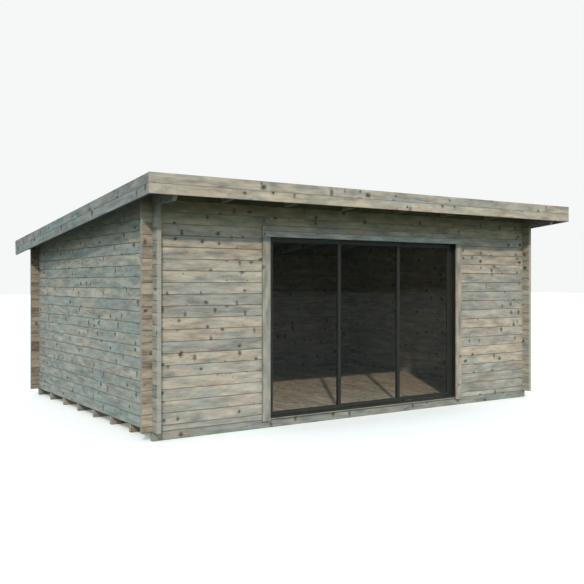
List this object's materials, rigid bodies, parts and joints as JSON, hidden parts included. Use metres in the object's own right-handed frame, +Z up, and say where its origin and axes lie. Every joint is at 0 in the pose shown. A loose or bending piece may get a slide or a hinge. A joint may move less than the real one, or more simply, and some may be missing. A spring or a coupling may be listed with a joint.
{
  "type": "log garden house with a lean-to roof and a sliding glass door",
  "caption": "Rectangular garden house of stacked interlocking wall logs on floor bearers, with a shallow lean-to roof, deep board fascias and a wide glazed sliding door in the front wall.",
  "frame": {"origin": "on the ground, under the middle of the roof's outline", "axes": "+Z up, +Y from the door front to the back wall, +X to the right of someone facing the door"},
  "size_m": [5.81, 4.494, 2.4867],
  "materials": {
    "wall_logs": "rough-planed, pressure-treated and weathered softwood",
    "bearer_timber": "sawn, pressure-treated softwood",
    "floor_boards": "planed softwood boards",
    "rafter_timber": "planed, pressure-treated softwood",
    "roof_boards": "tongue and groove softwood boards",
    "roof_felt": "mineral-faced bitumen felt",
    "fascia_boards": "planed, pressure-treated and weathered softwood",
    "casing_boards": "planed, pressure-treated softwood",
    "door_profiles": "anthracite powder coat, satin",
    "door_glass": "clear toughened glass with a grey tint"
  },
  "bodies": {
    "house": {"bearer_1": "bearer_timber", "bearer_2": "bearer_timber", "bearer_3": "bearer_timber", "bearer_4": "bearer_timber", "bearer_5": "bearer_timber", "bearer_6": "bearer_timber", "bearer_7": "bearer_timber", "bearer_8": "bearer_timber", "floor": "floor_boards", "front_wall_left": "wall_logs", "front_wall_right": "wall_logs", "front_wall_top": "wall_logs", "left_wall": "wall_logs", "right_wall": "wall_logs", "back_wall": "wall_logs", "rafter_1": "rafter_timber", "rafter_2": "rafter_timber", "rafter_3": "rafter_timber", "rafter_4": "rafter_timber", "rafter_5": "rafter_timber", "rafter_6": "rafter_timber", "roof_boards": "roof_boards", "roof_felt": "roof_felt", "front_fascia_upper": "fascia_boards", "front_fascia_lower": "fascia_boards", "left_fascia_upper": "fascia_boards", "left_fascia_lower": "fascia_boards", "right_fascia_upper": "fascia_boards", "right_fascia_lower": "fascia_boards", "rear_board": "fascia_boards", "casing_left": "casing_boards", "casing_right": "casing_boards", "casing_top": "casing_boards", "door_trim": "casing_boards", "sill_board": "casing_boards", "door_head": "door_profiles", "door_sill": "door_profiles", "jamb_left": "door_profiles", "jamb_right": "door_profiles", "left_panel_frame": "door_profiles", "left_panel_glass": "door_glass"},
    "middle_panel": {"middle_panel_frame": "door_profiles", "middle_panel_glass": "door_glass"},
    "right_panel": {"right_panel_frame": "door_profiles", "right_panel_glass": "door_glass"}
  },
  "joints": [
    {"name": "middle_panel_slide", "type": "slide", "parent": "house", "child": "middle_panel", "axis": [-1, 0, 0], "range_m": [0, 0.881]},
    {"name": "right_panel_slide", "type": "slide", "parent": "house", "child": "right_panel", "axis": [-1, 0, 0], "range_m": [0, 1.767]}
  ]
}
